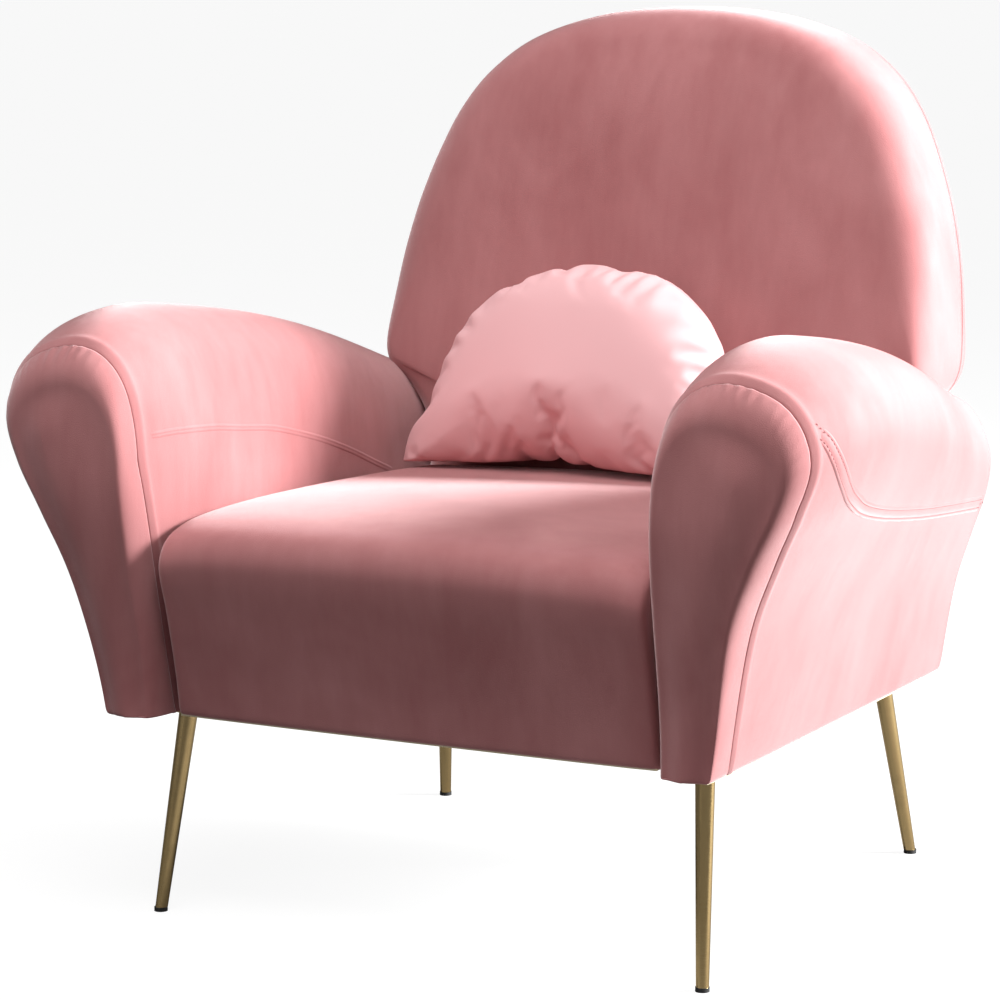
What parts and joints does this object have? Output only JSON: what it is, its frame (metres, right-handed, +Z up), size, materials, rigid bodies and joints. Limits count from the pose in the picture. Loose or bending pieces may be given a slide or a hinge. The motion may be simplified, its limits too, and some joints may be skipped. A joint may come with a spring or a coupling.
{
  "type": "upholstered armchair",
  "caption": "Velvet armchair with a high arched back, flared teardrop arms, a waterfall seat, a loose half-moon cushion and splayed tapered metal legs.",
  "frame": {"origin": "on the floor under the centre of the chair's bounding box", "axes": "+X to the right seen from the front, +Y from the front of the chair to its back, +Z up"},
  "size_m": [0.856, 0.7358, 0.859],
  "materials": {
    "plywood": "birch plywood, sanded, uncoated",
    "rail_timber": "planed pine, uncoated",
    "leg_brass": "polished brass plate over steel tube",
    "glide_rubber": "moulded, matt",
    "screw_steel": "zinc-plated",
    "bolt_steel": "zinc-plated",
    "spring_steel": "oiled spring steel",
    "foam": "open-cell polyurethane foam",
    "pink_velvet": "short-pile dusty pink velvet",
    "cushion_velvet": "short-pile dusty pink velvet",
    "webbing": "woven elastic webbing",
    "dust_cloth": "black non-woven cloth",
    "polyester_fill": "loose polyester fibre"
  },
  "bodies": {
    "chair": {"seat_rail_front": "rail_timber", "seat_rail_rear": "rail_timber", "seat_rail_left": "rail_timber", "seat_rail_right": "rail_timber", "arm_front_board_left": "plywood", "arm_front_board_right": "plywood", "arm_rear_board_left": "plywood", "arm_rear_board_right": "plywood", "arm_rails_left": "rail_timber", "arm_rails_right": "rail_timber", "back_board": "plywood", "back_cross_rails": "rail_timber", "leg_pads": "rail_timber", "leg_front_left": "leg_brass", "leg_front_right": "leg_brass", "leg_rear_left": "leg_brass", "leg_rear_right": "leg_brass", "foot_glides": "glide_rubber", "leg_screws": "screw_steel", "arm_bolts": "bolt_steel", "back_bolts": "bolt_steel", "arm_tee_nuts": "bolt_steel", "seat_springs": "spring_steel", "spring_clips": "spring_steel", "seat_foam": "foam", "arm_foam_left": "foam", "arm_foam_right": "foam", "back_foam": "foam", "seat_cover": "pink_velvet", "arm_cover_left": "pink_velvet", "arm_cover_right": "pink_velvet", "arm_front_panel_left": "pink_velvet", "arm_front_panel_right": "pink_velvet", "back_cover": "pink_velvet", "outside_back_cover": "pink_velvet", "back_webbing": "webbing", "dust_cover": "dust_cloth"},
    "cushion": {"cushion_cover": "cushion_velvet", "cushion_fill": "polyester_fill"}
  },
  "joints": [
    {"name": "cushion_lift", "type": "slide", "parent": "chair", "child": "cushion", "axis": [0, -0.5, 0.866], "range_m": [0, 0.45]}
  ]
}
